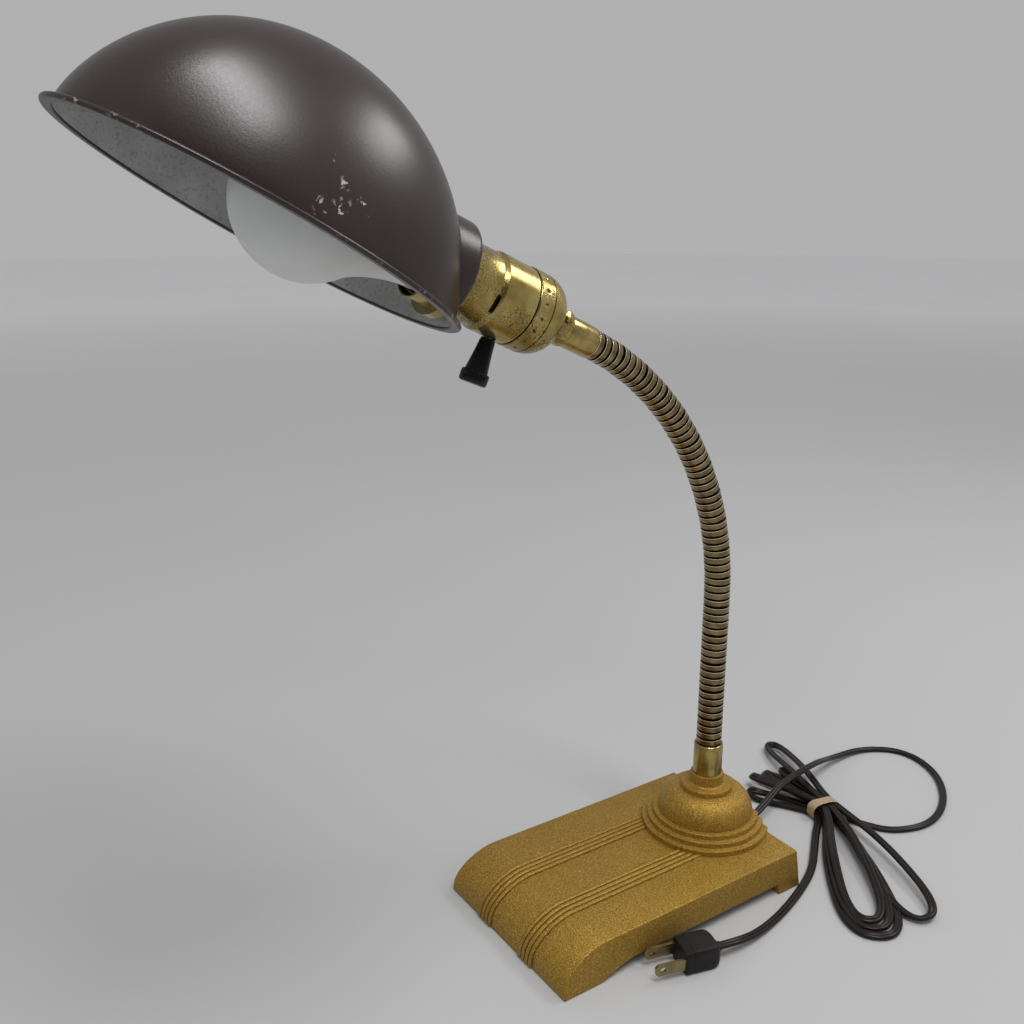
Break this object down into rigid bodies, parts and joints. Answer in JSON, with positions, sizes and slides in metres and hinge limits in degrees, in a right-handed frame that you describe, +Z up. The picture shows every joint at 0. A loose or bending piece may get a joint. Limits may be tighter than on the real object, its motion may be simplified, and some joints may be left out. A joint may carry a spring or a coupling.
{
  "type": "gooseneck desk lamp",
  "caption": "Gooseneck desk lamp: reeded cast base, ribbed bending neck, turn-knob brass socket, oval swivelling metal shade, frosted bulb and a tied cord with plug.",
  "frame": {"origin": "on the surface that the lamp stands on, under the middle of its box without the cord", "axes": "+Z up, -Y to the lamp's front where the shade points, +X to the lamp's own left hand, which is on the right of someone who faces its front"},
  "size_m": [0.1888, 0.5149, 0.43],
  "materials": {
    "gold_paint": "grainy metallic gold paint",
    "aged_brass": "aged, dark in the grooves",
    "bright_brass": "polished",
    "brown_enamel": "semi-gloss enamel outside, aluminium paint inside",
    "black_phenolic": "moulded",
    "steel": "plain",
    "frosted_glass": "frosted white",
    "brown_cord": "dark brown insulation",
    "plug_rubber": "dark moulded",
    "tan_band": "matt"
  },
  "bodies": {
    "base": {"base_casting": "gold_paint", "neck_nipple": "bright_brass", "nipple_washer": "bright_brass", "nipple_nut": "bright_brass", "lower_ferrule": "bright_brass", "cord_bushing": "plug_rubber", "inner_lead": "brown_cord", "neck_link_01": "aged_brass", "base_lead": "brown_cord", "cord_hank": "brown_cord", "plug_lead": "brown_cord", "cord_tie": "tan_band", "plug_body": "plug_rubber", "plug_blade_left": "bright_brass", "plug_blade_right": "bright_brass"},
    "neck_02": {"neck_link_02": "aged_brass"},
    "neck_03": {"neck_link_03": "aged_brass"},
    "neck_04": {"neck_link_04": "aged_brass"},
    "neck_05": {"neck_link_05": "aged_brass"},
    "neck_06": {"neck_link_06": "aged_brass"},
    "neck_07": {"neck_link_07": "aged_brass"},
    "neck_08": {"neck_link_08": "aged_brass"},
    "neck_09": {"neck_link_09": "aged_brass"},
    "neck_10": {"neck_link_10": "aged_brass"},
    "neck_11": {"neck_link_11": "aged_brass"},
    "neck_12": {"neck_link_12": "aged_brass"},
    "neck_13": {"neck_link_13": "aged_brass"},
    "neck_14": {"neck_link_14": "aged_brass"},
    "neck_15": {"neck_link_15": "aged_brass"},
    "head": {"neck_link_16": "aged_brass", "upper_ferrule": "bright_brass", "socket_cap": "aged_brass", "set_screw": "bright_brass", "switch_body": "black_phenolic", "terminal_screw_left": "bright_brass", "terminal_screw_right": "bright_brass", "screw_shell": "bright_brass", "centre_contact": "bright_brass", "socket_shell": "aged_brass", "shade_ring": "bright_brass", "bulb_contact": "bright_brass", "bulb_base": "bright_brass", "bulb_glass": "frosted_glass"},
    "knob": {"switch_shaft": "steel", "switch_knob": "black_phenolic"},
    "shade": {"shade": "brown_enamel"}
  },
  "joints": [
    {"name": "neck_bend_01", "type": "hinge", "parent": "base", "child": "neck_02", "pos_m": [0, 0.14573, 0.0899], "axis": [1, 0, 0], "range_deg": [-7, 5]},
    {"name": "neck_bend_02", "type": "hinge", "parent": "neck_02", "child": "neck_03", "pos_m": [0, 0.14573, 0.1067], "axis": [1, 0, 0], "range_deg": [-7, 5]},
    {"name": "neck_sway_03", "type": "hinge", "parent": "neck_03", "child": "neck_04", "pos_m": [0, 0.14573, 0.1235], "axis": [0, 1, 0], "range_deg": [-7, 7]},
    {"name": "neck_bend_04", "type": "hinge", "parent": "neck_04", "child": "neck_05", "pos_m": [0, 0.14573, 0.14031], "axis": [1, 0, 0], "range_deg": [-7, 5]},
    {"name": "neck_bend_05", "type": "hinge", "parent": "neck_05", "child": "neck_06", "pos_m": [0, 0.14573, 0.15711], "axis": [1, 0, 0], "range_deg": [-7, 5]},
    {"name": "neck_sway_06", "type": "hinge", "parent": "neck_06", "child": "neck_07", "pos_m": [0, 0.14531, 0.1739], "axis": [0, 0.9972, 0.0754], "range_deg": [-7, 7]},
    {"name": "neck_bend_07", "type": "hinge", "parent": "neck_07", "child": "neck_08", "pos_m": [0, 0.1432, 0.19056], "axis": [1, 0, 0], "range_deg": [-7, 5]},
    {"name": "neck_bend_08", "type": "hinge", "parent": "neck_08", "child": "neck_09", "pos_m": [0, 0.13934, 0.2069], "axis": [1, 0, 0], "range_deg": [-7, 5]},
    {"name": "neck_sway_09", "type": "hinge", "parent": "neck_09", "child": "neck_10", "pos_m": [0, 0.13376, 0.22274], "axis": [0, 0.9242, 0.3819], "range_deg": [-7, 7]},
    {"name": "neck_bend_10", "type": "hinge", "parent": "neck_10", "child": "neck_11", "pos_m": [0, 0.12653, 0.2379], "axis": [1, 0, 0], "range_deg": [-7, 5]},
    {"name": "neck_bend_11", "type": "hinge", "parent": "neck_11", "child": "neck_12", "pos_m": [0, 0.11773, 0.2522], "axis": [1, 0, 0], "range_deg": [-7, 5]},
    {"name": "neck_sway_12", "type": "hinge", "parent": "neck_12", "child": "neck_13", "pos_m": [0, 0.10747, 0.26549], "axis": [0, 0.7578, 0.6525], "range_deg": [-7, 7]},
    {"name": "neck_bend_13", "type": "hinge", "parent": "neck_13", "child": "neck_14", "pos_m": [0, 0.09585, 0.27762], "axis": [1, 0, 0], "range_deg": [-7, 5]},
    {"name": "neck_bend_14", "type": "hinge", "parent": "neck_14", "child": "neck_15", "pos_m": [0, 0.08301, 0.28844], "axis": [1, 0, 0], "range_deg": [-7, 5]},
    {"name": "neck_sway_15", "type": "hinge", "parent": "neck_15", "child": "head", "pos_m": [0, 0.06909, 0.29784], "axis": [0, 0.5149, 0.8572], "range_deg": [-7, 7]},
    {"name": "switch_turn", "type": "hinge", "parent": "head", "child": "knob", "pos_m": [0, -0.00091, 0.31037], "axis": [0, -0.421, -0.907], "continuous": true},
    {"name": "shade_swivel", "type": "hinge", "parent": "head", "child": "shade", "pos_m": [0, -0.01876, 0.33961], "axis": [0, -0.907, 0.421], "range_deg": [-90, 90]}
  ]
}
